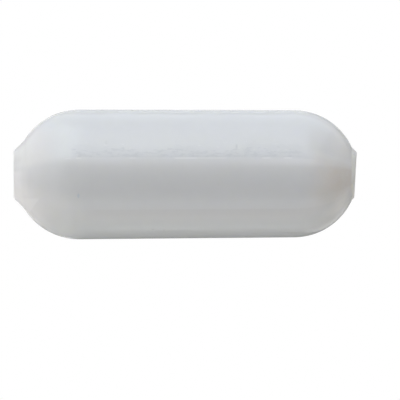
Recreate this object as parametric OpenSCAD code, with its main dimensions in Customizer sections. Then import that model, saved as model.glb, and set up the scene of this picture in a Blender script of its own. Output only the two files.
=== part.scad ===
// Magnetic stir bar: a cylindrical bar magnet sealed inside a one-piece PTFE jacket.
// The jacket is a slightly tapered cylinder that runs tangentially into a dome at each end.
// Each dome carries a small boss where the jacket was parted off: a flat with a conical flank.
// Millimetres. The bar stands on the square-cut foot boss and its axis is +Z.

/* [Jacket] */
// Outside diameter halfway along the bar
bar_d = 9.525; // [7.9:0.025:12.7]
// Overall length, from the foot flat to the highest point of the crown
bar_l = 25.4; // [20:0.1:40]
// How much narrower the jacket is at its crown end than at its foot end
bar_taper = 0.19; // [0:0.01:0.4]
// Jacket thickness round the side of the magnet
side_wall = 1.5875; // [1:0.0125:2]
// Jacket thickness beyond each end of the magnet
end_wall = 3.175; // [2.6:0.025:4]

/* [Foot boss] */
// Diameter of the flat that the bar stands on, up to its sharp corner
foot_d = 3.5; // [2.5:0.05:4.3]
// How far the flat stands proud of the dome
foot_rise = 0.045; // [0:0.005:0.15]
// Slope of the flank, in degrees above the flat
foot_flank = 45; // [40:1:60]
// Radius that softens the corner between flat and flank
foot_edge_r = 0.2; // [0.05:0.05:0.3]

/* [Crown boss] */
// Diameter of the boss at the level of its highest point
crown_d = 3.15; // [2.5:0.05:4]
// How far the highest point lies below the top of the full dome
crown_trim = 0.05; // [0:0.01:0.12]
// Slope of the flank, in degrees
crown_flank = 45; // [40:1:60]
// Slant of the parting cut, in degrees
crown_slant = 3.5; // [0:0.5:5]

/* [Magnet] */
// Width of the chamfer round each end of the magnet
magnet_chamfer = 0.4; // [0.2:0.05:0.8]
// Gap that the jacket leaves all round the magnet
magnet_gap = 0.02; // [0.01:0.01:0.1]

/* [Hidden] */
$fn = 96;

// Dome radii, and the heights of their centres
foot_dome_r = bar_d / 2 + bar_taper / 4;
crown_dome_r = bar_d / 2 - bar_taper / 4;
foot_dome_z = foot_rise + foot_dome_r;
crown_dome_z = bar_l + crown_trim - crown_dome_r;

// Where the tapered side is tangent to the domes, as an angle above the horizontal
side_angle = asin((foot_dome_r - crown_dome_r) / (crown_dome_z - foot_dome_z));

magnet_d = bar_d - 2 * side_wall;
hair = 0.00005;

// The point of a dome where its surface faces side_angle above the horizontal, set a hair inside
// the dome so that the side meets it with no sliver
function side_point(dome_r, dome_z) =
    [0, dome_z] + (dome_r - hair) * [cos(side_angle), sin(side_angle)];

// The slope at which a flank from the corner of a flat just touches the dome behind it
function tangent_slope(flat_r, dome_r, depth) =
    acos(dome_r / norm([flat_r, depth])) + atan2(flat_r, depth);

// Half section of the plain capsule: two domes and the tapered side between them
module capsule_section() {
    intersection() {
        union() {
            translate([0, foot_dome_z]) circle(r = foot_dome_r);
            translate([0, crown_dome_z]) circle(r = crown_dome_r);
            polygon([
                [0, foot_dome_z], side_point(foot_dome_r, foot_dome_z),
                side_point(crown_dome_r, crown_dome_z), [0, crown_dome_z]
            ]);
        }
        square([bar_d, bar_l + bar_d]);
    }
}

// Half section of a boss with its flat at height 0, on a dome whose centre is at height depth.
// The flank slopes up into the dome, and is never shallower than the dome's tangent.
module boss_section(flat_d, flank, edge_r, dome_r, depth) {
    flat_r = flat_d / 2;
    slope = max(flank, tangent_slope(flat_r, dome_r, depth));
    reach = depth * sin(slope) - flat_r * cos(slope);
    edge = edge_r * tan(slope / 2);
    polygon([
        [0, 0], [flat_r - edge, 0], [flat_r + edge * cos(slope), edge * sin(slope)],
        [flat_r + reach * cos(slope), reach * sin(slope)], [0, reach * sin(slope)]
    ]);
    if (edge_r > 0)
        translate([flat_r - edge, edge_r]) circle(r = edge_r);
}

// Outside of the jacket before the crown's parting cut
module jacket_blank() {
    rotate_extrude() {
        capsule_section();
        boss_section(foot_d, foot_flank, foot_edge_r, foot_dome_r, foot_dome_z);
    }
    translate([0, 0, bar_l])
        mirror([0, 0, 1])
            rotate_extrude()
                boss_section(crown_d, crown_flank, 0, crown_dome_r, bar_l - crown_dome_z);
}

// Everything above the parting cut, which rises to bar_l at the -X side of the crown boss
module parting_cut() {
    translate([-crown_d / 2, 0, bar_l])
        rotate([0, crown_slant, 0])
            translate([-bar_d, -bar_d, 0]) cube([3 * bar_d, 2 * bar_d, bar_d]);
}

// A cylinder with chamfered ends, larger all round than the magnet by grow
module magnet_blank(grow = 0) {
    r = magnet_d / 2 + grow;
    chamfer = magnet_chamfer + grow * (2 - sqrt(2));
    low = end_wall - grow;
    high = bar_l - end_wall + grow;
    rotate_extrude()
        polygon([
            [0, low], [r - chamfer, low], [r, low + chamfer],
            [r, high - chamfer], [r - chamfer, high], [0, high]
        ]);
}

// PTFE jacket, closed all round the magnet
module jacket() {
    color([0.93, 0.94, 0.95])
        difference() {
            jacket_blank();
            parting_cut();
            magnet_blank(magnet_gap);
        }
}

// Cast bar magnet, sealed in the jacket
module magnet() {
    color([0.42, 0.42, 0.44]) magnet_blank();
}

jacket();
magnet();
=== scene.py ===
"""Looks for the magnetic stir bar: a glossy white PTFE jacket round a bar magnet, standing on its foot.

Lengths are in metres, and the marks on the skin are placed in millimetres and degrees. The bar's axis is +Z.
In the picture the bar lies on its side, so picture-right is +Z, picture-up is -X and the camera looks along
+Y. Angles round the axis start on the camera's side, -Y, and are positive towards picture-up.
"""

import math

import bmesh
import bpy
from mathutils import Matrix, Vector, noise


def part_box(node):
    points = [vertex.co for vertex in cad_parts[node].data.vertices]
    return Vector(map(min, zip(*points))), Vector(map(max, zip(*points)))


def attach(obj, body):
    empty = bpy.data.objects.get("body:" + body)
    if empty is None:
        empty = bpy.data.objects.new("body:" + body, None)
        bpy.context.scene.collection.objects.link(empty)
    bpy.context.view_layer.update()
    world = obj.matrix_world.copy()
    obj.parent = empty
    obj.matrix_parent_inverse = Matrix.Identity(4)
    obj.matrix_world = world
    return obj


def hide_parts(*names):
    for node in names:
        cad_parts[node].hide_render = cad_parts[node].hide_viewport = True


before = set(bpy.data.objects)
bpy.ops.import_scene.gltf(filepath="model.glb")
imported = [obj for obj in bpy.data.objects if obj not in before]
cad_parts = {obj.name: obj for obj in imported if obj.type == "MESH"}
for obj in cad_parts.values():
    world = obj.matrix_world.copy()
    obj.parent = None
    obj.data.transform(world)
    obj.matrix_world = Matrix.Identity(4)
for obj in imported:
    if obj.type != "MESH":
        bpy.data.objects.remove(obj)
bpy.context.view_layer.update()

MM = 0.001

# Sizes of the jacket and the magnet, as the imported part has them
jacket_low, jacket_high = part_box("jacket")
magnet_low, magnet_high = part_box("magnet")
BAR_LENGTH = jacket_high.z - jacket_low.z
BAR_D = 9.525 * MM
BAR_TAPER = 0.19 * MM
FOOT_RISE = 0.045 * MM
FOOT_FLAT_R = 1.75 * MM
FOOT_EDGE_R = 0.2 * MM
CROWN_TRIM = 0.05 * MM
CROWN_FLAT_R = 1.575 * MM
CROWN_SLANT = math.radians(3.5)
BOSS_FLANK = math.radians(45)
MAGNET_CHAMFER = 0.4 * MM
MAGNET_GAP = 0.02 * MM

FOOT_DOME_R = BAR_D / 2 + BAR_TAPER / 4
CROWN_DOME_R = BAR_D / 2 - BAR_TAPER / 4
FOOT_DOME_Z = FOOT_RISE + FOOT_DOME_R
CROWN_DOME_Z = BAR_LENGTH + CROWN_TRIM - CROWN_DOME_R

# Softening that the moulding has and the CAD outline leaves out
KINK_BLEND = 0.22 * MM
CROWN_EDGE_R = 0.06 * MM

# The moulding's unevenness: an even inset that keeps it inside the CAD box, and two noises
RELIEF_INSET = 0.006 * MM
RELIEF_BROAD = 0.0006 * MM
RELIEF_FINE = 0.0002 * MM
BROAD_SIZE = (3.1 * MM, 3.1 * MM, 5.5 * MM)
FINE_SIZE = 0.75 * MM
FINE_SHIFT = Vector((7, 3, 1))
# Heights where the unevenness starts and ends, and how far it takes to fade in
RELIEF_LOW = 0.05 * MM
RELIEF_HIGH = CROWN_DOME_Z + 4.1 * MM
RELIEF_FADE = 0.5 * MM

# How finely the jacket is divided, from the foot's centre to the crown's, and round its axis
FOOT_FLAT_STEPS = 14
FOOT_EDGE_STEPS = 6
FOOT_FLANK_STEPS = 10
FOOT_DOME_STEPS = 54
SIDE_STEPS = 150
CROWN_DOME_STEPS = 60
CROWN_FLANK_STEPS = 5
CROWN_FLAT_STEPS = 10
SKIN_AROUND = 288
CAVITY_AROUND = 96

# The crown's rounded edge as offsets from its sharp rim, outwards and upwards, in edge radii
CROWN_FLANK_END = (0.4, -0.4)
CROWN_EDGE = [(0.12, -0.16), (-0.2, -0.03), (-0.6, 0)]


def kinks():
    """Where the foot's and the crown's flanks meet their domes, as (radius, height)."""

    def run(flat_r, depth, dome_r):
        """Length of a flank from the corner of a flat into a dome whose centre is at depth."""
        b = depth * math.sin(BOSS_FLANK) - flat_r * math.cos(BOSS_FLANK)
        c = flat_r ** 2 + depth ** 2 - dome_r ** 2
        return b - math.sqrt(b * b - c)

    foot_run = run(FOOT_FLAT_R, FOOT_DOME_Z, FOOT_DOME_R)
    crown_run = run(CROWN_FLAT_R, BAR_LENGTH - CROWN_DOME_Z, CROWN_DOME_R)
    foot = (FOOT_FLAT_R + foot_run * math.cos(BOSS_FLANK), foot_run * math.sin(BOSS_FLANK))
    crown = (CROWN_FLAT_R + crown_run * math.cos(BOSS_FLANK), BAR_LENGTH - crown_run * math.sin(BOSS_FLANK))
    return foot, crown


def arc(centre, radius, start, end, count):
    """Points of an arc, without its first point; angles are above the horizontal."""
    angles = [start + i * (end - start) / count for i in range(1, count + 1)]
    return [(centre[0] + radius * math.cos(a), centre[1] + radius * math.sin(a)) for a in angles]


def line(a, b, count):
    """Points of a straight run, without its first point."""
    return [(a[0] + (b[0] - a[0]) * i / count, a[1] + (b[1] - a[1]) * i / count) for i in range(1, count + 1)]


def outer_outline():
    """Half section of the outside, from the foot's centre to where the crown's flank begins."""
    foot_kink, crown_kink = kinks()
    side = math.asin((FOOT_DOME_R - CROWN_DOME_R) / (CROWN_DOME_Z - FOOT_DOME_Z))
    side_end = (CROWN_DOME_R * math.cos(side), CROWN_DOME_Z + CROWN_DOME_R * math.sin(side))
    foot_start = math.atan2(foot_kink[1] - FOOT_DOME_Z, foot_kink[0])
    crown_end = math.atan2(crown_kink[1] - CROWN_DOME_Z, crown_kink[0])
    flat_r = FOOT_FLAT_R - FOOT_EDGE_R * math.tan(BOSS_FLANK / 2)
    down = -math.pi / 2
    points = [(0, 0)]
    points += line(points[-1], (flat_r, 0), FOOT_FLAT_STEPS)
    points += arc((flat_r, FOOT_EDGE_R), FOOT_EDGE_R, down, down + BOSS_FLANK, FOOT_EDGE_STEPS)
    points += line(points[-1], foot_kink, FOOT_FLANK_STEPS)
    points += arc((0, FOOT_DOME_Z), FOOT_DOME_R, foot_start, side, FOOT_DOME_STEPS)
    points += line(points[-1], side_end, SIDE_STEPS)
    points += arc((0, CROWN_DOME_Z), CROWN_DOME_R, side, crown_end, CROWN_DOME_STEPS)
    return points


def soften(points, corners, reach):
    """Rounds an outline at its corners: each point within reach of one is averaged with its neighbours."""
    out = list(points)
    for corner in corners:
        for i in range(2, len(points) - 2):
            if math.dist(points[i], corner) < reach:
                near = points[i - 2:i + 3]
                out[i] = tuple(sum(p[k] for p in near) / len(near) for k in (0, 1))
    return out


def crown_cut(x):
    """Height of the crown's slanted flat."""
    return BAR_LENGTH - math.tan(CROWN_SLANT) * (x + CROWN_FLAT_R)


def crown_rim(t):
    """Radius and height of the slanted flat's sharp rim, at an angle in the XY plane."""
    slope = math.tan(CROWN_SLANT)
    r = CROWN_FLAT_R * (1 + slope) / (1 - slope * math.cos(t))
    return r, crown_cut(r * math.cos(t))


def level_ring(r, z):
    """The shape of a ring that is round and level."""
    return lambda _angle: (r, z)


def skin_shapes():
    """Shapes of the outer skin's rings from foot to crown, each a function from angle to (radius, height)."""
    outline = soften(outer_outline(), kinks(), KINK_BLEND)
    last_r, last_z = outline[-1]

    def flank_ring(share):
        def shape(t):
            r, z = crown_rim(t)
            end_r, end_z = r + CROWN_EDGE_R * CROWN_FLANK_END[0], z + CROWN_EDGE_R * CROWN_FLANK_END[1]
            return last_r + (end_r - last_r) * share, last_z + (end_z - last_z) * share
        return shape

    def edge_ring(out, up):
        def shape(t):
            r, z = crown_rim(t)
            r += CROWN_EDGE_R * out
            return r, min(crown_cut(r * math.cos(t)), z + CROWN_EDGE_R * up)
        return shape

    def flat_ring(share):
        def shape(t):
            r = (crown_rim(t)[0] - CROWN_EDGE_R) * share
            return r, crown_cut(r * math.cos(t))
        return shape

    shapes = [level_ring(r, z) for r, z in outline[1:]]
    shapes += [flank_ring(i / CROWN_FLANK_STEPS) for i in range(1, CROWN_FLANK_STEPS + 1)]
    shapes += [edge_ring(out, up) for out, up in CROWN_EDGE]
    shapes += [flat_ring(i / CROWN_FLAT_STEPS) for i in range(CROWN_FLAT_STEPS - 1, 0, -1)]
    return shapes


def cavity_shapes():
    """Shapes of the rings of the cavity's wall, from its floor to its roof."""
    r = magnet_high.x + MAGNET_GAP
    floor_z, roof_z = magnet_low.z - MAGNET_GAP, magnet_high.z + MAGNET_GAP
    corners = [
        (r - MAGNET_CHAMFER, floor_z), (r, floor_z + MAGNET_CHAMFER),
        (r, roof_z - MAGNET_CHAMFER), (r - MAGNET_CHAMFER, roof_z),
    ]
    return [level_ring(*corner) for corner in corners]


def add_ring(bm, shape, count):
    """Vertices round the axis, placed by a ring's shape."""
    ring = []
    for k in range(count):
        t = 2 * math.pi * k / count
        r, z = shape(t)
        ring.append(bm.verts.new((r * math.cos(t), r * math.sin(t), z)))
    return ring


def with_next(ring):
    """Each vertex of a closed ring with the next one."""
    return zip(ring, ring[1:] + ring[:1])


def add_band(bm, lower, upper):
    """Quads between two rings, facing away from the axis; with the rings swapped they face it."""
    for (a, b), (c, d) in zip(with_next(lower), with_next(upper)):
        bm.faces.new((a, b, d, c))


def add_fan(bm, centre, ring):
    """Triangles from a centre to a ring."""
    for a, b in with_next(ring):
        bm.faces.new((centre, a, b))


def relief(point):
    """How far the moulding lies inside the ideal surface."""
    broad = noise.noise(Vector([c / size for c, size in zip(point, BROAD_SIZE)]))
    fine = noise.noise(point / FINE_SIZE + FINE_SHIFT)
    return RELIEF_INSET + (0.5 + 0.5 * broad) * RELIEF_BROAD + (0.5 + 0.5 * fine) * RELIEF_FINE


def make_uneven(verts):
    """Moves the skin towards the axis by its relief, which fades out towards both flats."""
    for v in verts:
        r = math.hypot(v.co.x, v.co.y)
        if r > 0:
            keep = min(1.0, max(0.0, (v.co.z - RELIEF_LOW) / RELIEF_FADE))
            keep *= min(1.0, max(0.0, (RELIEF_HIGH - v.co.z) / RELIEF_FADE))
            inwards = relief(v.co) * keep / r
            v.co.x -= v.co.x * inwards
            v.co.y -= v.co.y * inwards


def jacket_mesh():
    """The outer skin, with the crown's slanted cut, and inside it the wall of the magnet's cavity."""
    bm = bmesh.new()
    skin = [add_ring(bm, shape, SKIN_AROUND) for shape in skin_shapes()]
    foot_centre = bm.verts.new((0, 0, 0))
    crown_centre = bm.verts.new((0, 0, crown_cut(0)))
    add_fan(bm, foot_centre, skin[0][::-1])
    for lower, upper in zip(skin, skin[1:]):
        add_band(bm, lower, upper)
    add_fan(bm, crown_centre, skin[-1])
    make_uneven(bm.verts)

    cavity = [add_ring(bm, shape, CAVITY_AROUND) for shape in cavity_shapes()]
    for lower, upper in zip(cavity, cavity[1:]):
        add_band(bm, upper, lower)
    bm.faces.new(cavity[0])
    bm.faces.new(cavity[-1][::-1])

    mesh = bpy.data.meshes.new("ptfe_jacket")
    bm.to_mesh(mesh)
    bm.free()
    mesh.shade_smooth()
    return mesh


# The Mix node's own numbers of its colour sockets, whose names its other sockets share
MIX_SHARE, MIX_A, MIX_B, MIX_RESULT = 0, 6, 7, 2


class Nodes:
    """Short calls that build one node tree. Values may be numbers or other nodes' outputs."""

    def __init__(self, owner):
        owner.use_nodes = True
        self.tree = owner.node_tree
        self.tree.nodes.clear()

    def put(self, socket, value):
        if isinstance(value, bpy.types.NodeSocket):
            self.tree.links.new(value, socket)
        else:
            socket.default_value = value

    def node(self, kind, settings=None, **inputs):
        made = self.tree.nodes.new(kind)
        for key, value in (settings or {}).items():
            setattr(made, key, value)
        for key, value in inputs.items():
            self.put(made.inputs[key.replace("_", " ")], value)
        return made

    def calc(self, operation, *values):
        """One math node for one or two values, and a chain of them for more."""
        result = values[0]
        for value in values[1:] or (None,):
            made = self.node("ShaderNodeMath", {"operation": operation})
            self.put(made.inputs[0], result)
            if value is not None:
                self.put(made.inputs[1], value)
            result = made.outputs[0]
        return result

    def total(self, *values):
        return self.calc("ADD", *values)

    def product(self, *values):
        return self.calc("MULTIPLY", *values)

    def greatest(self, *values):
        return self.calc("MAXIMUM", *values)

    def distance(self, x, y):
        """How far a place is from the axis."""
        return self.calc("SQRT", self.total(self.product(x, x), self.product(y, y)))

    def vector(self, operation, *values):
        made = self.node("ShaderNodeVectorMath", {"operation": operation})
        for socket, value in zip(made.inputs, values):
            self.put(socket, value)
        return made.outputs["Value" if operation == "LENGTH" else "Vector"]

    def scaled(self, colour, factor):
        made = self.node("ShaderNodeVectorMath", {"operation": "SCALE"}, Scale=factor)
        self.put(made.inputs[0], colour)
        return made.outputs["Vector"]

    def ramp(self, value, start, end, to_start=0.0, to_end=1.0):
        """Smooth step that changes while value goes from start to end."""
        made = self.node("ShaderNodeMapRange", {"interpolation_type": "SMOOTHSTEP"})
        for socket, v in zip(made.inputs, (value, start, end, to_start, to_end)):
            self.put(socket, v)
        return made.outputs[0]

    def span(self, value, rise_start, rise_end, fall_start, fall_end):
        """1 from rise_end to fall_start, and fading to 0 on both sides."""
        return self.product(self.ramp(value, rise_start, rise_end), self.ramp(value, fall_end, fall_start))

    def mix(self, share, a, b):
        """Colour mix of a and b."""
        made = self.node("ShaderNodeMix", {"data_type": "RGBA"})
        for number, v in ((MIX_SHARE, share), (MIX_A, a), (MIX_B, b)):
            self.put(made.inputs[number], v)
        return made.outputs[MIX_RESULT]

    def add_shaders(self, first, *others):
        for other in others:
            made = self.node("ShaderNodeAddShader")
            self.put(made.inputs[0], first)
            self.put(made.inputs[1], other)
            first = made.outputs[0]
        return first

    def noise(self, coordinates, scale, detail, roughness):
        made = self.node(
            "ShaderNodeTexNoise", Vector=coordinates, Scale=scale, Detail=detail, Roughness=roughness,
        )
        return made.outputs["Fac"]

    def swing(self, noise_value, size):
        """An offset about zero from a noise, as large as size allows."""
        return self.product(self.calc("SUBTRACT", noise_value, 0.5), size)

    def millimetres(self):
        """The object's own coordinates in millimetres."""
        return self.vector("MULTIPLY", self.node("ShaderNodeTexCoord").outputs["Object"], (1 / MM,) * 3)

    def separate(self, vector):
        return self.node("ShaderNodeSeparateXYZ", Vector=vector).outputs

    def finish(self, shader, kind="ShaderNodeOutputMaterial"):
        self.put(self.node(kind).inputs["Surface"], shader)


def grey(level, tint=(1.0, 1.0, 1.0)):
    return (level * tint[0], level * tint[1], level * tint[2], 1.0)


# From here to the magnet, heights are in millimetres and angles in degrees. A fade is the value where a mark
# starts to show and the value where it shows fully, and where given its weakest and strongest share. A span
# is a fade in and a fade out.
SKIN_MM_PER_DEGREE = math.radians(BAR_D / 2 / MM)
# Noises in the solid: scale, detail, roughness
MOTTLE = (1.3, 4.0, 0.55)
GRAIN = (9.0, 3.0, 0.6)
CLOUD = (0.35, 3.0, 0.5)
# Noises on the flat skin: scale along the bar, scale round it, detail, roughness
STREAKS = (0.6, 2.6, 5.0, 0.68)
CHIPS = (1.7, 4.6, 3.0, 0.6)
SWELL = (0.55, 0.2, 2.0, 0.5)
PATCHES = (0.28, 0.1, 1.0, 0.5)
WAVES = (0.4, 0.9, 1.0, 0.4)
# How far the cloud noise moves the heights at which the ends turn whiter
WAVER_REACH = 1.2


class Skin(Nodes):
    """The jacket's node tree, with the places and the noises that its marks share."""

    def __init__(self, material):
        super().__init__(material)
        place = self.millimetres()
        self.x, self.y, self.z = self.separate(place)
        turn = self.calc("ARCTAN2", self.product(self.x, -1.0), self.product(self.y, -1.0))
        self.phi = self.product(turn, 180 / math.pi)
        # The skin laid flat: millimetres along the bar and round it
        self.flat = self.node(
            "ShaderNodeCombineXYZ", X=self.z, Y=self.product(self.phi, SKIN_MM_PER_DEGREE),
        ).outputs[0]
        self.mottle = self.noise(place, *MOTTLE)
        self.grain = self.noise(place, *GRAIN)
        self.streaks = self.flat_noise(*STREAKS)
        self.chips = self.flat_noise(*CHIPS)
        self.wavering_z = self.total(self.z, self.swing(self.noise(place, *CLOUD), WAVER_REACH))

    def flat_noise(self, along, across, detail, roughness):
        """Noise on the flat skin, with one scale along the bar and another round it."""
        return self.noise(self.vector("MULTIPLY", self.flat, (along, across, 1.0)), 1.0, detail, roughness)


BODY_TONE = grey(0.76, (0.99, 1.0, 1.005))
# Whiter foot end: partly the solid end's milky tone, partly painted light; the tip's lower side is painted
# light
FOOT_TONE = grey(0.92, (1.0, 0.995, 0.975))
MILKY_AND_LIT_HEIGHT = (5.6, 3.4)
MILKY_AND_LIT_ABOVE = (7.0, 17.0, 0.1, 0.42)
MILKY_AND_LIT_BELOW = (-8.0, -32.0, 0.1, 0.5)
TIP_HEIGHT = (1.2, 0.1, 0.0, 0.85)
TIP_ANGLE = (16.0, 0.0)


def body_tone(n):
    """Grey over the magnet, and milkier towards the foot; there the whiter tone, stronger on the upper and
    lower sides, is partly painted light, and the lower side of the foot's tip is whiter still with painted
    light.
    """
    side = n.greatest(n.ramp(n.phi, *MILKY_AND_LIT_ABOVE), n.ramp(n.phi, *MILKY_AND_LIT_BELOW))
    milky = n.product(n.ramp(n.wavering_z, *MILKY_AND_LIT_HEIGHT), side)
    tip = n.product(n.ramp(n.z, *TIP_HEIGHT), n.ramp(n.phi, *TIP_ANGLE))
    return n.mix(n.total(milky, tip), BODY_TONE, FOOT_TONE)


CROWN_TONE = grey(0.85, (1.0, 0.998, 0.99))
CROWN_HEIGHT = (21.4, 24.8)
# Painted warm reflection at the crown's tip, towards the camera
WARM_TONE = grey(0.89, (1.0, 0.985, 0.965))
WARM_HEIGHT = (22.8, 24.4)
WARM_ANGLE = (-12.0, 4.0)
# Painted brownish reflection and shade at the crown, towards the camera, mottled
BROWN_REFLECTION_TONE = (0.79, 0.745, 0.70, 1.0)
BROWN_REFLECTION_HEIGHT = (21.2, 24.1)
BROWN_REFLECTION_ANGLES = (-42.0, -17.0, 8.0, 20.0)
BROWN_REFLECTION_MOTTLE = (0.1, 0.75, 0.4, 1.0)


def paint_crown(n, colour):
    """Whiter past the magnet's end, with painted warm reflection and painted brownish shade at the tip,
    towards the camera.
    """
    colour = n.mix(n.ramp(n.wavering_z, *CROWN_HEIGHT), colour, CROWN_TONE)
    warm = n.product(n.ramp(n.z, *WARM_HEIGHT), n.ramp(n.phi, *WARM_ANGLE))
    colour = n.mix(warm, colour, WARM_TONE)
    brown_reflection = n.product(
        n.span(n.phi, *BROWN_REFLECTION_ANGLES), n.ramp(n.wavering_z, *BROWN_REFLECTION_HEIGHT), n.ramp(n.mottle, *BROWN_REFLECTION_MOTTLE),
    )
    return n.mix(brown_reflection, colour, BROWN_REFLECTION_TONE)


SEAM_ANGLE = 14.4
# Paler tone for painted highlight and painted light
PALE_LIGHT_TONE = grey(0.93, (1.0, 0.995, 0.985))
PALE_LINE_ANGLES = (5.0, 11.0, SEAM_ANGLE - 1.0, SEAM_ANGLE)
PALE_LINE_HEIGHT = (15.0, 23.0, 0.1, 0.42)
PALE_END_ANGLES = (5.0, 11.0, 18.0, 26.0)
PALE_END_HEIGHT = (21.0, 23.0, 0.0, 0.42)
PALE_START = (3.6, 5.0)
PALE_TIP_ANGLE = (-27.0, -40.0)
PALE_TIP_HEIGHT = (23.4, 24.2, 0.0, 0.35)


def paint_pale_light(n, colour):
    """A painted highlight as a pale streak below the seam that widens at the crown, and painted light on the
    lower side of the crown's tip.
    """
    line_mark = n.product(n.span(n.phi, *PALE_LINE_ANGLES), n.ramp(n.z, *PALE_LINE_HEIGHT))
    end_mark = n.product(n.span(n.phi, *PALE_END_ANGLES), n.ramp(n.z, *PALE_END_HEIGHT))
    streak = n.product(n.greatest(line_mark, end_mark), n.ramp(n.z, *PALE_START))
    tip = n.product(n.ramp(n.phi, *PALE_TIP_ANGLE), n.ramp(n.z, *PALE_TIP_HEIGHT))
    return n.mix(n.greatest(streak, tip), colour, PALE_LIGHT_TONE)


# Painted light, whiter on the crown's flank
LIT_FLANK_TONE = grey(0.94, (1.0, 0.985, 0.92))
# Painted light on the crown's flank: its fade, as heights above the kink where it meets the dome
LIT_FLANK_START = -0.06
LIT_FLANK_FULL = 0.02
LIT_FLANK_ANGLE = (75.0, 45.0, 0.3, 1.0)
# A painted highlight: a pale wedge beside the foot where its flank meets the dome
HIGHLIGHT_WEDGE_TONE = grey(0.95)
HIGHLIGHT_WEDGE_SHARE = 0.45
HIGHLIGHT_WEDGE_SIDE = (1.7, 1.86)
# The painted highlight's slanting end: its fade is of the height plus this share of x
HIGHLIGHT_WEDGE_SLANT = 0.72
HIGHLIGHT_WEDGE_END = (3.218, 3.118)
# Painted shade on the upper side of the foot's flank
FLANK_SHADE_TONE = grey(0.6, (1.0, 0.97, 0.93))
FLANK_SHADE_SHARE = 0.28
FLANK_SHADE_HEIGHT = (1.0, 0.1)
FLANK_SHADE_ANGLE = (16.0, 34.0)


def paint_flanks(n, colour):
    """Painted light on the crown's flank, a painted highlight as a pale wedge beside the foot, and painted
    shade on the upper side of the foot's flank.
    """
    kink_z = kinks()[1][1] / MM
    lit_flank = n.product(
        n.ramp(n.z, kink_z + LIT_FLANK_START, kink_z + LIT_FLANK_FULL),
        n.ramp(n.calc("ABSOLUTE", n.phi), *LIT_FLANK_ANGLE),
    )
    colour = n.mix(lit_flank, colour, LIT_FLANK_TONE)
    slanted = n.total(n.z, n.product(n.x, HIGHLIGHT_WEDGE_SLANT))
    highlight_wedge = n.product(n.ramp(n.x, *HIGHLIGHT_WEDGE_SIDE), n.ramp(slanted, *HIGHLIGHT_WEDGE_END), HIGHLIGHT_WEDGE_SHARE)
    colour = n.mix(highlight_wedge, colour, HIGHLIGHT_WEDGE_TONE)
    flank_shade = n.product(n.ramp(n.z, *FLANK_SHADE_HEIGHT), n.ramp(n.phi, *FLANK_SHADE_ANGLE), FLANK_SHADE_SHARE)
    return n.mix(flank_shade, colour, FLANK_SHADE_TONE)


# A band along the seam: its scuffs are rough and bumped, and its darker tone is painted shade
DARKER_LEVEL = 0.68
SCUFF_AND_SHADE_TONE = grey(DARKER_LEVEL, (0.985, 1.0, 1.015))
SCUFF_AND_SHADE_SHARE = 0.84
BAND_HEIGHTS = (4.1, 4.6, 21.0, 21.6)
BAND_START = (14.8, 15.8)
# The band's ragged upper edge: its fade, and how far each noise moves it in degrees
BAND_EDGE = (22.6, 21.7)
SWELL_REACH = 20.0
STREAK_REACH = 12.0
CHIP_REACH = 9.0
# Where the chips leave the band whole and where they thin it
CHIPPED = (0.38, 0.54, 1.0, 0.3)
# A thin veil above the band, in patches, and a stray scatter of marks all over
VEIL_EDGE = (27.6, 26.0)
VEIL_PATCHES = (0.44, 0.56)
VEIL_SHARE = 0.3
STRAY = (0.64, 0.7, 0.0, 0.18)


def scuff_and_shade_masks(n):
    """The ragged band along the seam, with scuffs and painted shade, and all the scuffs and painted shade
    together.
    """
    swell = n.flat_noise(*SWELL)
    patches = n.flat_noise(*PATCHES)
    ragged = n.total(
        n.phi, n.swing(swell, SWELL_REACH), n.swing(n.streaks, STREAK_REACH), n.swing(n.chips, CHIP_REACH),
    )
    above_seam = n.product(n.ramp(n.phi, *BAND_START), n.span(n.z, *BAND_HEIGHTS))
    band = n.product(above_seam, n.ramp(ragged, *BAND_EDGE))
    worn = n.product(band, n.ramp(n.chips, *CHIPPED))
    veil = n.product(above_seam, n.ramp(ragged, *VEIL_EDGE), n.ramp(patches, *VEIL_PATCHES), VEIL_SHARE)
    return band, n.greatest(worn, n.ramp(n.streaks, *STRAY), veil)


# Painted highlight tone, for the line along the seam and the glints at the band's upper edge
PAINTED_HIGHLIGHT_TONE = grey(0.9)
GLINT_CHIPS = (0.63, 0.72)
GLINT_ANGLES = (17.0, 22.0, 28.0, 36.0)
GLINT_SHARE = 0.4


def paint_scuffs_and_shade(n, colour, scuff_and_shade):
    """The scuffs with their painted shade, and painted glints of highlight along the band's upper edge."""
    colour = n.mix(n.product(scuff_and_shade, SCUFF_AND_SHADE_SHARE), colour, SCUFF_AND_SHADE_TONE)
    glints = n.product(
        n.ramp(n.chips, *GLINT_CHIPS), n.span(n.phi, *GLINT_ANGLES), n.span(n.z, *BAND_HEIGHTS), GLINT_SHARE,
    )
    return n.mix(glints, colour, PAINTED_HIGHLIGHT_TONE)


# The painted highlight along the seam shows weakly all along, and more in its brighter runs: start height,
# end height, strength
SEAM_START = (3.6, 4.0, 0.0, 0.1)
SEAM_END = (21.8, 21.2)
SEAM_HIGHLIGHT_RUNS = [
    (3.75, 4.2, 0.5), (4.6, 5.0, 0.5), (8.5, 9.1, 0.4), (11.9, 13.6, 0.65), (13.6, 15.8, 0.4),
    (18.4, 19.0, 0.7), (20.0, 20.6, 0.7),
]
RUN_FADE = 0.15
# The line's fade to both sides
SEAM_WIDTH = (0.95, 0.35)
# A painted dark reflection line lower down
LOWER_SHADE_LINE_ANGLE = -33.2
LOWER_SHADE_LINE_FADE = 0.8
LOWER_SHADE_LINE_ANGLES = (-44.0, -36.0, LOWER_SHADE_LINE_ANGLE - LOWER_SHADE_LINE_FADE, LOWER_SHADE_LINE_ANGLE + LOWER_SHADE_LINE_FADE)
LOWER_SHADE_LINE_HEIGHTS = (5.0, 6.5, 20.0, 22.4)
LOWER_SHADE_LINE_SHARE = 0.3


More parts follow.
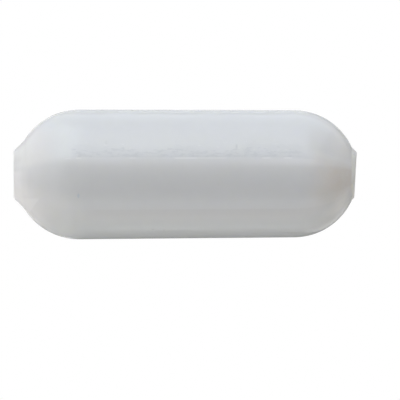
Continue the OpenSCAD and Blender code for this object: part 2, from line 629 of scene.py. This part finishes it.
def paint_highlight_and_shade_lines(n, colour):
    """A painted highlight as a thin broken line along the moulding seam, edging the scuffs, and a fainter
    painted dark reflection line lower down.
    """
    seam = n.product(n.ramp(n.z, *SEAM_START), n.ramp(n.z, *SEAM_END))
    for start, end, strength in SEAM_HIGHLIGHT_RUNS:
        run = n.span(n.z, start - RUN_FADE, start + RUN_FADE, end - RUN_FADE, end + RUN_FADE)
        seam = n.greatest(seam, n.product(run, strength))
    off = n.calc("ABSOLUTE", n.calc("SUBTRACT", n.phi, SEAM_ANGLE))
    colour = n.mix(n.product(seam, n.ramp(off, *SEAM_WIDTH)), colour, PAINTED_HIGHLIGHT_TONE)
    lower = n.product(n.span(n.phi, *LOWER_SHADE_LINE_ANGLES), n.span(n.z, *LOWER_SHADE_LINE_HEIGHTS), LOWER_SHADE_LINE_SHARE)
    return n.mix(lower, colour, grey(DARKER_LEVEL))


# Small oval marks on the skin: height, angle, length, width, strength, colour
SPECKS = [
    (4.78, -19.3, 0.22, 0.5, 0.55, (0.6, 0.67, 0.74, 1.0)),
    (6.85, 29.4, 0.28, 0.42, 0.25, (0.62, 0.63, 0.65, 1.0)),
    (16.5, 25.5, 0.22, 0.52, 0.6, (0.62, 0.63, 0.65, 1.0)),
    (10.3, -59.0, 0.3, 0.2, 0.4, (0.6, 0.6, 0.6, 1.0)),
    (11.1, -60.5, 0.22, 0.2, 0.35, (0.6, 0.6, 0.6, 1.0)),
]
# A speck's fade, as a share of its half length and half width
SPECK_EDGE = (1.0, 0.4)


def paint_specks(n, colour):
    for height, angle, length, width, strength, tone in SPECKS:
        away = n.vector("SUBTRACT", n.flat, (height, angle * SKIN_MM_PER_DEGREE, 0.0))
        away = n.vector("LENGTH", n.vector("MULTIPLY", away, (2 / length, 2 / width, 0.0)))
        colour = n.mix(n.product(n.ramp(away, *SPECK_EDGE), strength), colour, tone)
    return colour


MOTTLE_SHADE = 0.03
GRAIN_SHADE = 0.012
# Painted shade: a broad darker strip towards the camera, and its middle angle
PAINTED_SHADE = -0.055
DARK_MIDDLE = -5.0
DARK_SIDES = (24.0, 8.0)
DARK_HEIGHTS = (2.8, 4.4, 21.0, 23.5)
DARK_TO_FOOT = (18.0, 8.0, 0.55, 1.0)
# Painted light: a lighter strip above the lower dark line
PAINTED_LIGHT = 0.03
LIGHT_ANGLES = (-35.0, -32.0, -27.0, -20.0)
LIGHT_START = (2.0, 4.0)
LIGHT_TO_CROWN = (8.0, 20.0, 0.3, 1.0)


def shade(n):
    """A factor near 1: the skin's uneven tone, with painted shade towards the camera and painted light above
    the lower dark line.
    """
    off = n.calc("ABSOLUTE", n.calc("SUBTRACT", n.phi, DARK_MIDDLE))
    dark = n.product(
        n.ramp(n.z, *DARK_TO_FOOT), n.span(n.z, *DARK_HEIGHTS), n.ramp(off, *DARK_SIDES), PAINTED_SHADE,
    )
    light = n.product(
        n.span(n.phi, *LIGHT_ANGLES), n.ramp(n.z, *LIGHT_TO_CROWN), n.ramp(n.z, *LIGHT_START), PAINTED_LIGHT,
    )
    return n.total(n.swing(n.mottle, MOTTLE_SHADE), n.swing(n.grain, GRAIN_SHADE), dark, light, 1.0)


FOOT_FACE = (0.14, 0.02)
CROWN_FACE = (0.1, 0.02)
# Radians to the millimetre of the foot's turned rings and the crown's saw lines, and the saw lines' slant
TURNED_RATE = 70.0
SAWN_RATE = 60.0
SAWN_SLANT = 0.15


def parted_faces(n):
    """Mask of the two parted faces, and their marks: turned rings on the foot, saw lines on the crown."""
    foot_face = n.ramp(n.z, *FOOT_FACE)
    drop = n.product(n.total(n.x, CROWN_FLAT_R / MM), math.tan(CROWN_SLANT))
    crown_level = n.calc("SUBTRACT", BAR_LENGTH / MM, drop)
    crown_face = n.ramp(n.calc("SUBTRACT", crown_level, n.z), *CROWN_FACE)
    turned = n.calc("SINE", n.product(n.distance(n.x, n.y), TURNED_RATE))
    sawn = n.calc("SINE", n.product(n.total(n.y, n.product(n.x, SAWN_SLANT)), SAWN_RATE))
    marks = n.total(n.product(turned, foot_face), n.product(sawn, crown_face))
    return n.greatest(foot_face, crown_face), marks


# Roughness of the plain skin, and what its grain, its scuffs and the parted faces add
SKIN_ROUGHNESS = 0.115
GRAIN_ROUGHNESS = 0.05
SCUFF_ROUGHNESS = 0.04
PARTED_ROUGHNESS = 0.38
# Reflections as strong as the photo's, and light that spreads in the white plastic
PTFE_IOR = 1.5
SCATTER_COLOUR = (1.0, 1.0, 0.9)
SCATTER_REACH = 1.6 * MM
# Bumps of the skin: strength and height. The streaks' own bump is stronger in the band of scuffs.
WAVE_BUMP = (0.6, 0.001 * MM)
STREAK_BUMP = (0.04, 0.0016 * MM)
BAND_BUMP = 0.9
PARTED_BUMP = (1.0, 0.0012 * MM)
GRAIN_BUMP = (0.15, 0.0006 * MM)


def ptfe():
    """White PTFE, glossy and milky, with scuffs and painted shade along a seam, painted highlights and
    painted light, a painted brownish reflection and shade at the crown, specks and matt parted faces.
    """
    material = bpy.data.materials.new("ptfe_white")
    n = Skin(material)
    band, scuff_and_shade = scuff_and_shade_masks(n)
    parted, parted_marks = parted_faces(n)

    colour = body_tone(n)
    colour = paint_crown(n, colour)
    colour = paint_pale_light(n, colour)
    colour = paint_flanks(n, colour)
    colour = paint_scuffs_and_shade(n, colour, scuff_and_shade)
    colour = paint_highlight_and_shade_lines(n, colour)
    colour = paint_specks(n, colour)
    roughness = n.total(
        SKIN_ROUGHNESS, n.product(n.grain, GRAIN_ROUGHNESS), n.product(scuff_and_shade, SCUFF_ROUGHNESS),
        n.product(parted, PARTED_ROUGHNESS),
    )

    streak_strength, streak_height = STREAK_BUMP
    streak_strength = n.total(streak_strength, n.product(band, BAND_BUMP))
    bump = n.node("ShaderNodeBump", Height=n.flat_noise(*WAVES), Strength=WAVE_BUMP[0], Distance=WAVE_BUMP[1])
    for height, strength, distance in (
        (n.streaks, streak_strength, streak_height), (parted_marks, *PARTED_BUMP), (n.grain, *GRAIN_BUMP),
    ):
        bump = n.node(
            "ShaderNodeBump", Height=height, Strength=strength, Distance=distance, Normal=bump.outputs[0],
        )

    shader = n.node(
        "ShaderNodeBsdfPrincipled", Base_Color=n.scaled(colour, shade(n)), Roughness=roughness, IOR=PTFE_IOR,
        Normal=bump.outputs[0], Subsurface_Weight=1.0, Subsurface_Radius=SCATTER_COLOUR,
        Subsurface_Scale=SCATTER_REACH,
    )
    n.finish(shader.outputs[0])
    return material


DARK_METAL = grey(0.26)
LIGHT_METAL = grey(0.42, (1.0, 0.99, 0.97))
METAL_GRAIN = (4.0, 6.0, 0.7)
METAL_PITS = (12.0, 2.0, 0.5)
# Roughness of the metal, and what its grain adds
METAL_ROUGHNESS = 0.3
METAL_GRAIN_ROUGHNESS = 0.3
PIT_BUMP = (0.4, 0.02 * MM)


def magnet_metal():
    """Cast and ground magnet metal with a mottled grain and fine pits."""
    material = bpy.data.materials.new("cast_magnet")
    n = Nodes(material)
    place = n.millimetres()
    grain = n.noise(place, *METAL_GRAIN)
    pits = n.noise(place, *METAL_PITS)
    roughness = n.total(METAL_ROUGHNESS, n.product(grain, METAL_GRAIN_ROUGHNESS))
    bump = n.node("ShaderNodeBump", Height=pits, Strength=PIT_BUMP[0], Distance=PIT_BUMP[1])
    shader = n.node(
        "ShaderNodeBsdfPrincipled", Base_Color=n.mix(grain, DARK_METAL, LIGHT_METAL), Metallic=1.0,
        Roughness=roughness, Normal=bump.outputs[0],
    )
    n.finish(shader.outputs[0])
    return material


# Picture: a square frame, and where the bar sits in it
FRAME_PX = 400
BAR_LEFT_PX = 13.75
BAR_RIGHT_PX = 356.9
BAR_MIDDLE_PX = 173.8
PICTURE_ROLL = math.radians(0.17)
CAMERA_DISTANCE = 1.0
CLIP_START = 0.01
CLIP_END = 20


def make_camera():
    """Square to the bar's axis from far off, as a long lens sees it, with +Z turned to picture-right."""
    metres_per_px = BAR_LENGTH / (BAR_RIGHT_PX - BAR_LEFT_PX)
    right = Vector((math.sin(PICTURE_ROLL), 0, math.cos(PICTURE_ROLL)))
    up = Vector((-math.cos(PICTURE_ROLL), 0, math.sin(PICTURE_ROLL)))
    towards = right.cross(up)
    middle = Vector((0, 0, BAR_LENGTH / 2))
    offset_right = (FRAME_PX / 2 - (BAR_LEFT_PX + BAR_RIGHT_PX) / 2) * metres_per_px
    offset_up = (BAR_MIDDLE_PX - FRAME_PX / 2) * metres_per_px
    place = middle + right * offset_right + up * offset_up + towards * CAMERA_DISTANCE
    data = bpy.data.cameras.new("camera")
    data.type = "ORTHO"
    data.ortho_scale = FRAME_PX * metres_per_px
    data.clip_start = CLIP_START
    data.clip_end = CLIP_END
    camera = bpy.data.objects.new("camera", data)
    camera.matrix_world = Matrix.Translation(place) @ Matrix((right, up, towards)).transposed().to_4x4()
    bpy.context.scene.collection.objects.link(camera)
    bpy.context.scene.camera = camera


def beside(angle, distance, height=0.0):
    """A point at an angle round the axis and a distance from it."""
    a = math.radians(angle)
    return Vector((-distance * math.sin(a), -distance * math.cos(a), height))


def area_lamp(name, width, height, radiance, matrix):
    """A rectangular lamp, with the power that gives it an even radiance."""
    peak = max(radiance)
    data = bpy.data.lights.new(name, "AREA")
    data.shape = "RECTANGLE"
    data.size = width
    data.size_y = height
    data.energy = peak * math.pi * width * height
    data.color = [c / peak for c in radiance]
    lamp = bpy.data.objects.new(name, data)
    lamp.matrix_world = matrix
    bpy.context.scene.collection.objects.link(lamp)


SOFTBOX_DISTANCE = 0.4
# The room round the bar: name, angles, heights, radiance as red, green and blue.
# A scratch program fitted these radiances, and UNDERLIGHTS' and GLEAM_RINGS', to the photo's tones.
SOFTBOXES = [
    ("near_fill", (2, 14), (0.0, 0.3), (0.513, 0.441, 0.323)),
    ("near_sill", (14, 22), (0.0, 0.3), (0.954, 0.89, 0.928)),
    ("sill_fill", (22, 28), (0.0, 0.3), (1.31, 1.39, 1.64)),
    ("window_line", (28, 30.5), (0.0, 0.3), (1, 1.45, 1.6)),
    ("window_sill", (30.5, 38), (0.0, 0.3), (1.83, 1.96, 2.15)),
    ("window_foot", (38, 46), (0.0, 0.3), (2.19, 2.37, 2.65)),
    ("window_low", (46, 60), (0.0, 0.2), (2.45, 2.66, 2.82)),
    ("window_high", (60, 76), (0.0, 0.2), (2.27, 2.42, 2.59)),
    ("window_top", (76, 98), (0.0, 0.2), (1.32, 1.44, 1.71)),
    ("ceiling", (98, 135), (0.0, 0.3), (0.785, 0.875, 0.995)),
    ("upper_near", (24, 46), (0.3, 0.6), (0.453, 0.133, 0.102)),
    ("upper_mid", (46, 66), (0.2, 0.5), (0.761, 0.726, 0.32)),
    ("upper_far", (66, 98), (0.2, 0.4), (1.09, 1.02, 1.03)),
    ("table_near", (-36, -18), (0.0, 0.3), (0.03, 0.00757, 0.0799)),
    ("table_fill", (-52, -36), (0.0, 0.35), (0.489, 0.531, 0.524)),
    ("table_edge", (-66, -52), (0.0, 0.35), (0.832, 0.894, 1.02)),
    ("far_fill", (-92, -66), (0.0, 0.45), (1.15, 1.04, 0.95)),
    ("low_fill", (-118, -92), (0.0, 0.45), (0.561, 0.621, 0.601)),
    ("crown_fill", (-105, -45), (0.45, 0.8), (0.001, 0.0731, 0.0312)),
    ("crown_far", (-150, -105), (0.3, 0.8), (0.677, 0.634, 0.542)),
]


def softbox(name, angles, heights, radiance):
    """A lamp that faces the bar's axis and spans the angles and heights given."""
    half = math.radians(angles[1] - angles[0]) / 2
    place = beside(sum(angles) / 2, SOFTBOX_DISTANCE, sum(heights) / 2)
    back = Vector((place.x, place.y, 0)).normalized()
    up = Vector((0, 0, 1))
    matrix = Matrix.Translation(place) @ Matrix((up.cross(back), up, back)).transposed().to_4x4()
    area_lamp(name, 2 * SOFTBOX_DISTANCE * math.tan(half), heights[1] - heights[0], radiance, matrix)


UNDERLIGHT_DEPTH = 0.0008
# Square lamps that light the opal floor from below: name, angle, reach, size, radiance
UNDERLIGHTS = [
    ("under_foot", 0, 0.0, 0.013, (0.43, 0.385, 0.389)),
    ("under_front", 0, 0.022, 0.03, (0.896, 0.885, 0.848)),
    ("under_down", -90, 0.022, 0.03, (0.213, 0.322, 0.313)),
]


def underlight(name, angle, reach, size, radiance):
    """A lamp just under the floor that faces up."""
    place = beside(angle, reach, -UNDERLIGHT_DEPTH)
    area_lamp(name, size, size, radiance, Matrix.Translation(place) @ Matrix.Rotation(math.pi, 4, "X"))


CARD_DISTANCE = 0.3
CARD_PAINT = grey(0.03)
CARD_LIGHT = (0.97, 0.99, 1.0, 1.0)
CARD_STEPS = 12
# Curved cards behind the bar, which the camera doesn't see: name, angles, heights, glow
CARDS = [
    ("flag_below", (-133, -121), (0.0, 0.06), 0.6),
    ("flag_low", (-145, -133), (0.0, 0.06), 0.3),
    ("flag_behind", (-180, -145), (0.0, 0.07), 0.22),
    ("flag_edge", (-180, -163), (0.07, 0.3), 0.6),
    ("wall_upper", (139, 156), (0.0, 0.045), 1.08),
    ("wall_behind", (156, 180), (0.0, 0.045), 0.88),
    ("wall_edge", (154, 180), (0.045, 0.35), 0.55),
]


def card(name, angles, heights, glow):
    """A dark card that glows softly, curved round the axis."""
    bm = bmesh.new()
    rows = []
    for i in range(CARD_STEPS + 1):
        angle = angles[0] + (angles[1] - angles[0]) * i / CARD_STEPS
        rows.append([bm.verts.new(beside(angle, CARD_DISTANCE, z)) for z in heights])
    for a, b in zip(rows, rows[1:]):
        bm.faces.new((a[0], b[0], b[1], a[1]))
    mesh = bpy.data.meshes.new(name)
    bm.to_mesh(mesh)
    bm.free()
    material = bpy.data.materials.new(name)
    n = Nodes(material)
    n.finish(n.add_shaders(
        n.node("ShaderNodeBsdfDiffuse", Color=CARD_PAINT).outputs[0],
        n.node("ShaderNodeEmission", Color=CARD_LIGHT, Strength=glow).outputs[0],
    ))
    mesh.materials.append(material)
    made = bpy.data.objects.new(name, mesh)
    made.visible_camera = False
    bpy.context.scene.collection.objects.link(made)


def make_room():
    """The lamps and cards, and a world that is white to the camera and in reflections but lights nothing."""
    for row in SOFTBOXES:
        softbox(*row)
    for row in UNDERLIGHTS:
        underlight(*row)
    for row in CARDS:
        card(*row)
    world = bpy.data.worlds.new("room")
    n = Nodes(world)
    path = n.node("ShaderNodeLightPath").outputs
    seen = n.greatest(path["Is Camera Ray"], path["Is Glossy Ray"], path["Is Transmission Ray"])
    white = n.node("ShaderNodeBackground", Color=grey(1.0), Strength=seen)
    n.finish(white.outputs[0], "ShaderNodeOutputWorld")
    bpy.context.scene.world = world


FLOOR_HALF = 0.6
FLOOR_COLOUR = grey(0.95)
# Share of the light from below that the floor lets through
OPAL_SHARE = 0.26

# Fades of the floor's own glow, in millimetres of x, of y and of reach, the distance from the bar's axis.
# What the camera sees is weaker near the bar, where the lamps add to it and the bar's shadow should show.
SEEN_GLOW = (180.0, 290.0, 0.6, 1.0)
# The floor's camera side, by y
FRONT = (0.4, -1.0)
# On that side, by reach: a glow for reflections, and a thin ring that lights the foot's edge
NEAR_GLOW = (7.0, 2.5, 0.0, 0.4)
RING_GLOW = (2.2, 1.75, 0.0, 0.1)
# Behind the foot, for reflections: by reach, by y plus a share of x, and by x
FLOOR_SLANT = 0.6
FAR_REACH = (3.0, 8.0)
FAR_SLANTED = (-1.0, 4.0)
FAR_GLOW = (2.0, -4.0, 0.0, 0.4)
# Close behind the foot towards +X: by reach, by y and by x
LOW_REACH = (3.0, 5.0, 6.0, 10.0)
LOW_SIDE = (-3.0, 3.0)
LOW_GLOW = (-2.0, 4.0, 0.0, 0.35)
# Farther off towards +X: by reach, and by a share of x less y
ASIDE_REACH = (8.0, 22.0)
ASIDE_GLOW = (0.0, 8.0, 0.0, 0.3)


class Floor(Nodes):
    """The floor's node tree, with its places in millimetres and the kinds of ray that meet it."""

    def __init__(self, material):
        super().__init__(material)
        self.x, self.y, _ = self.separate(self.millimetres())
        self.reach = self.distance(self.x, self.y)
        path = self.node("ShaderNodeLightPath").outputs
        self.seen = self.greatest(path["Is Camera Ray"], path["Is Transmission Ray"])
        self.unseen = self.calc("SUBTRACT", 1.0, path["Is Camera Ray"])
        self.in_gloss = path["Is Glossy Ray"]


def floor_glow(n):
    """Strength of the white glow that the camera sees and of the glows that only the bar sees."""
    front = n.ramp(n.y, *FRONT)
    near = n.product(n.ramp(n.reach, *NEAR_GLOW), front)
    ring = n.product(n.ramp(n.reach, *RING_GLOW), front)
    slanted_x = n.product(n.x, FLOOR_SLANT)
    far = n.product(
        n.ramp(n.reach, *FAR_REACH), n.ramp(n.total(n.y, slanted_x), *FAR_SLANTED), n.ramp(n.x, *FAR_GLOW),
    )
    low = n.product(n.span(n.reach, *LOW_REACH), n.ramp(n.x, *LOW_GLOW), n.ramp(n.y, *LOW_SIDE))
    aside = n.calc("SUBTRACT", slanted_x, n.y)
    aside = n.product(n.ramp(n.reach, *ASIDE_REACH), n.ramp(aside, *ASIDE_GLOW))
    return n.total(
        n.product(n.seen, n.ramp(n.reach, *SEEN_GLOW)),
        n.product(n.in_gloss, n.total(near, far, low, aside)),
        n.product(n.unseen, ring),
    )


# The window's gleam on the floor, as the bar's reflections find it: radius in millimetres, radiance
GLEAM_RINGS = [
    (2, (0.323, 0.451, 0.143)),
    (4.5, (1.41, 1.35, 1.47)),
    (8, (1.5, 1.85, 2.31)),
    (13, (1.9, 2.47, 2.53)),
    (22, (2.14, 2.57, 3.08)),
    (70, (2.97, 3.36, 3.91)),
]
# Its near edge crosses the floor at this turn, with a fade in millimetres past the foot's centre
GLEAM_TURN = math.radians(30)
GLEAM_EDGE = (-3.4, 0.4)
# It stops short of the floor that the bar's far edge reflects, by x plus y, and is weaker behind the bar
GLEAM_STOP = (-1.6, -3.6)
GLEAM_BY_Y = (6.0, -10.0, 0.25, 1.0)


def floor_gleam(n):
    """Colour and strength of the window's gleam."""
    colour = (0.0, 0.0, 0.0)
    last = len(GLEAM_RINGS) - 1
    for i, (radius, radiance) in enumerate(GLEAM_RINGS):
        rise = n.ramp(n.reach, GLEAM_RINGS[i - 1][0], radius) if i > 0 else 1.0
        fall = n.ramp(n.reach, GLEAM_RINGS[i + 1][0], radius) if i < last else 1.0
        colour = n.vector("ADD", colour, n.scaled(radiance, n.product(rise, fall)))
    past_edge = n.total(n.product(n.x, -math.cos(GLEAM_TURN)), n.product(n.y, math.sin(GLEAM_TURN)))
    strength = n.product(
        n.ramp(past_edge, *GLEAM_EDGE), n.ramp(n.total(n.x, n.y), *GLEAM_STOP), n.ramp(n.y, *GLEAM_BY_Y),
        n.in_gloss,
    )
    return colour, strength


def make_floor():
    """A plain opal floor, white to the eye; the bar's own reflections also find a glow and a gleam on it."""
    material = bpy.data.materials.new("pale_floor")
    n = Floor(material)
    opal = n.node("ShaderNodeMixShader", Fac=n.product(n.unseen, OPAL_SHARE))
    n.put(opal.inputs[1], n.node("ShaderNodeBsdfDiffuse", Color=FLOOR_COLOUR).outputs[0])
    n.put(opal.inputs[2], n.node("ShaderNodeBsdfTranslucent", Color=FLOOR_COLOUR).outputs[0])
    glow = n.node("ShaderNodeEmission", Strength=floor_glow(n))
    colour, strength = floor_gleam(n)
    gleam = n.node("ShaderNodeEmission", Color=colour, Strength=strength)
    n.finish(n.add_shaders(opal.outputs[0], glow.outputs[0], gleam.outputs[0]))

    mesh = bpy.data.meshes.new("floor")
    corners = [(i * FLOOR_HALF, j * FLOOR_HALF, 0) for i, j in ((-1, -1), (1, -1), (1, 1), (-1, 1))]
    mesh.from_pydata(corners, [], [(0, 1, 2, 3)])
    mesh.materials.append(material)
    floor = bpy.data.objects.new("floor", mesh)
    bpy.context.scene.collection.objects.link(floor)


bpy.context.scene.view_settings.view_transform = "Standard"

make_camera()
make_room()
make_floor()

jacket = bpy.data.objects.new("ptfe_jacket", jacket_mesh())
bpy.context.scene.collection.objects.link(jacket)
jacket.data.materials.append(ptfe())
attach(jacket, "root")
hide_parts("jacket")

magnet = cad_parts["magnet"]
magnet.data.materials.clear()
magnet.data.materials.append(magnet_metal())
